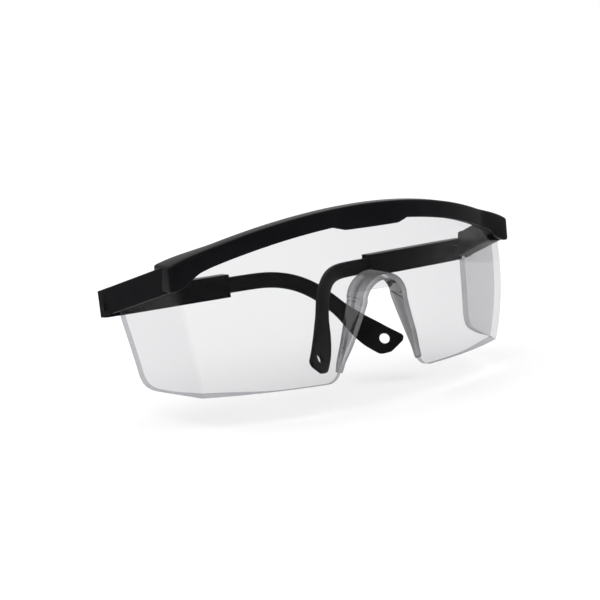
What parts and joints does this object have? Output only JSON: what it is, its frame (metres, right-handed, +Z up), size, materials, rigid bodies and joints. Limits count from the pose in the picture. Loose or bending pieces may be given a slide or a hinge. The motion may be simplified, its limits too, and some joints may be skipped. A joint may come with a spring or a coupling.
{
  "type": "safety spectacles",
  "caption": "Clear wrap-round safety spectacles with side shields, black brow frame and folding temples of adjustable length.",
  "frame": {"origin": "centre of the bounding box's underside, on the surface that the folded spectacles stand on", "axes": "+Z up, -Y out through the front of the lens, +X towards the wearer's left"},
  "size_m": [0.1592, 0.0626, 0.0589],
  "materials": {
    "frame_nylon": "satin-gloss black nylon",
    "slider_nylon": "satin black nylon",
    "clear_lens": "clear polished polycarbonate",
    "screw_steel": "plain steel"
  },
  "bodies": {
    "frame": {"brow_frame": "frame_nylon", "lens": "clear_lens"},
    "temple_left": {"temple_sleeve_left": "frame_nylon", "hinge_screw_left": "screw_steel"},
    "temple_right": {"temple_sleeve_right": "frame_nylon", "hinge_screw_right": "screw_steel"},
    "slider_left": {"temple_slider_left": "slider_nylon"},
    "slider_right": {"temple_slider_right": "slider_nylon"}
  },
  "joints": [
    {"name": "left_temple_fold", "type": "hinge", "parent": "frame", "child": "temple_left", "pos_m": [0.0755, 0.02817, 0.02824], "axis": [0, -0.0628, -0.998], "range_deg": [0, 94.5]},
    {"name": "right_temple_fold", "type": "hinge", "parent": "frame", "child": "temple_right", "pos_m": [-0.0755, 0.02817, 0.02824], "axis": [0, 0.0628, 0.998], "range_deg": [0, 93.1]},
    {"name": "left_slider_extend", "type": "slide", "parent": "temple_left", "child": "slider_left", "axis": [-0.991, -0.1337, 0.0084], "range_m": [0, 0.006]},
    {"name": "right_slider_extend", "type": "slide", "parent": "temple_right", "child": "slider_right", "axis": [1, 0.0087, -0.0005], "range_m": [0, 0.006]}
  ],
  "couplings": [
    {"joint": "right_temple_fold", "follows": "left_temple_fold", "ratio": 0.985}
  ]
}
